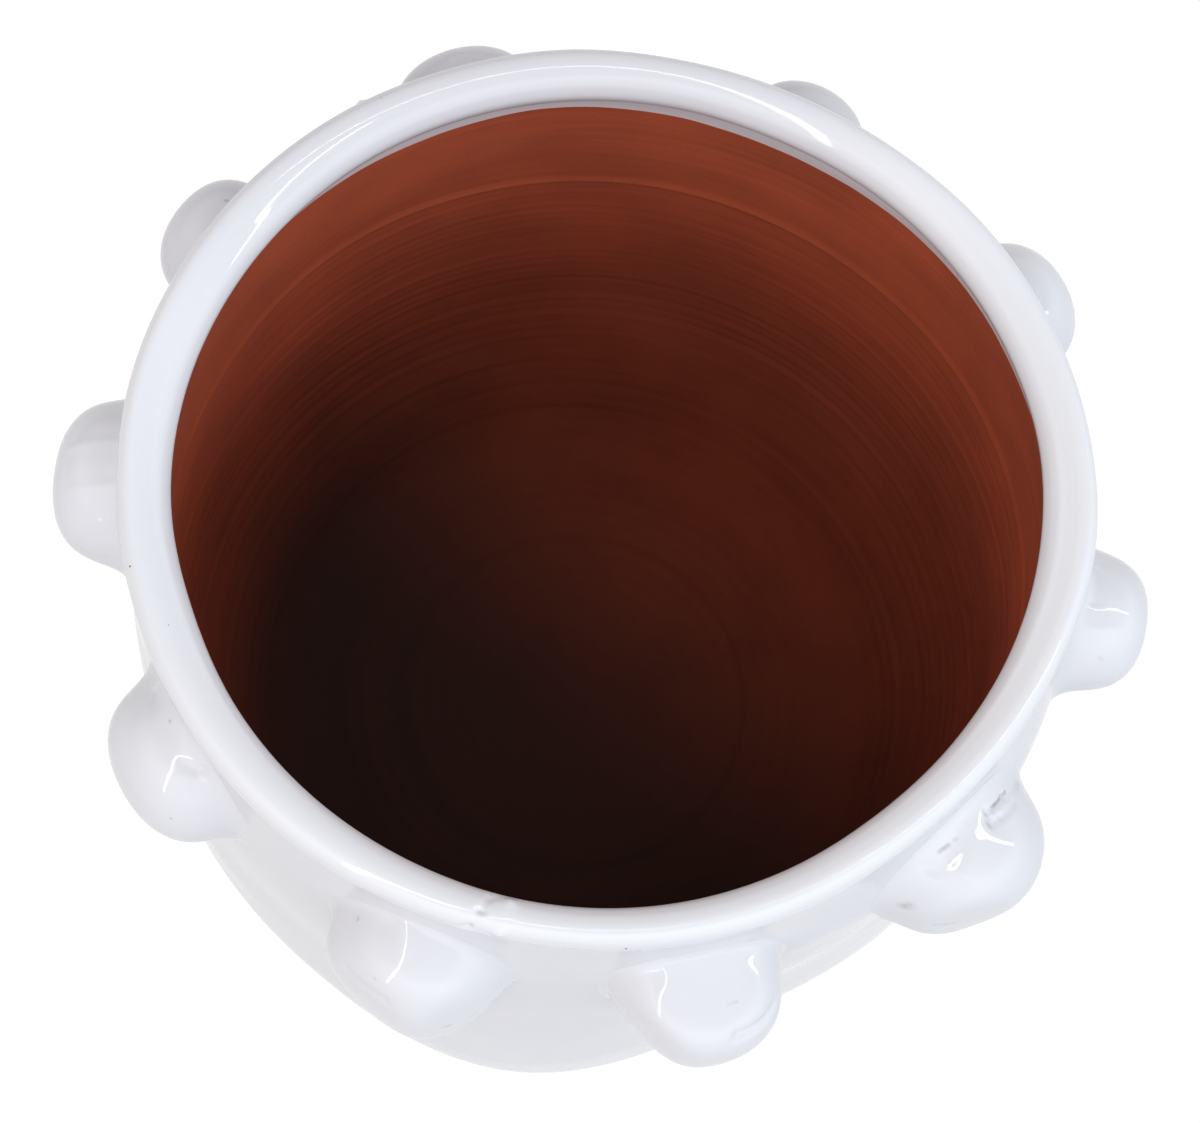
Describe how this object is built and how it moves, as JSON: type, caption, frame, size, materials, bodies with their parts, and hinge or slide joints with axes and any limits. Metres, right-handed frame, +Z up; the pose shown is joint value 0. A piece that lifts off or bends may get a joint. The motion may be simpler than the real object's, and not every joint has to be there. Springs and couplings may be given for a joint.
{
  "type": "planter",
  "caption": "Round-bellied earthenware planter, white glazed outside and bare clay inside, with a rolled rim, a row of dome-shaped knobs round the shoulder and a flat base.",
  "frame": {"origin": "middle of the flat underside, on the ground", "axes": "+Z up along the pot's axis, out of the mouth; +X to the right and -Y towards the viewer of the picture"},
  "size_m": [0.3132, 0.3067, 0.25],
  "materials": {
    "glaze": "opaque white gloss glaze over earthenware",
    "bare_clay": "unglazed fired red-brown clay, matt"
  },
  "bodies": {
    "root": {"body_wall": "glaze", "rim_roll": "glaze", "base_slab": "bare_clay", "knob_01": "glaze", "knob_02": "glaze", "knob_03": "glaze", "knob_04": "glaze", "knob_05": "glaze", "knob_06": "glaze", "knob_07": "glaze", "knob_08": "glaze", "knob_09": "glaze", "knob_10": "glaze"}
  },
  "joints": []
}
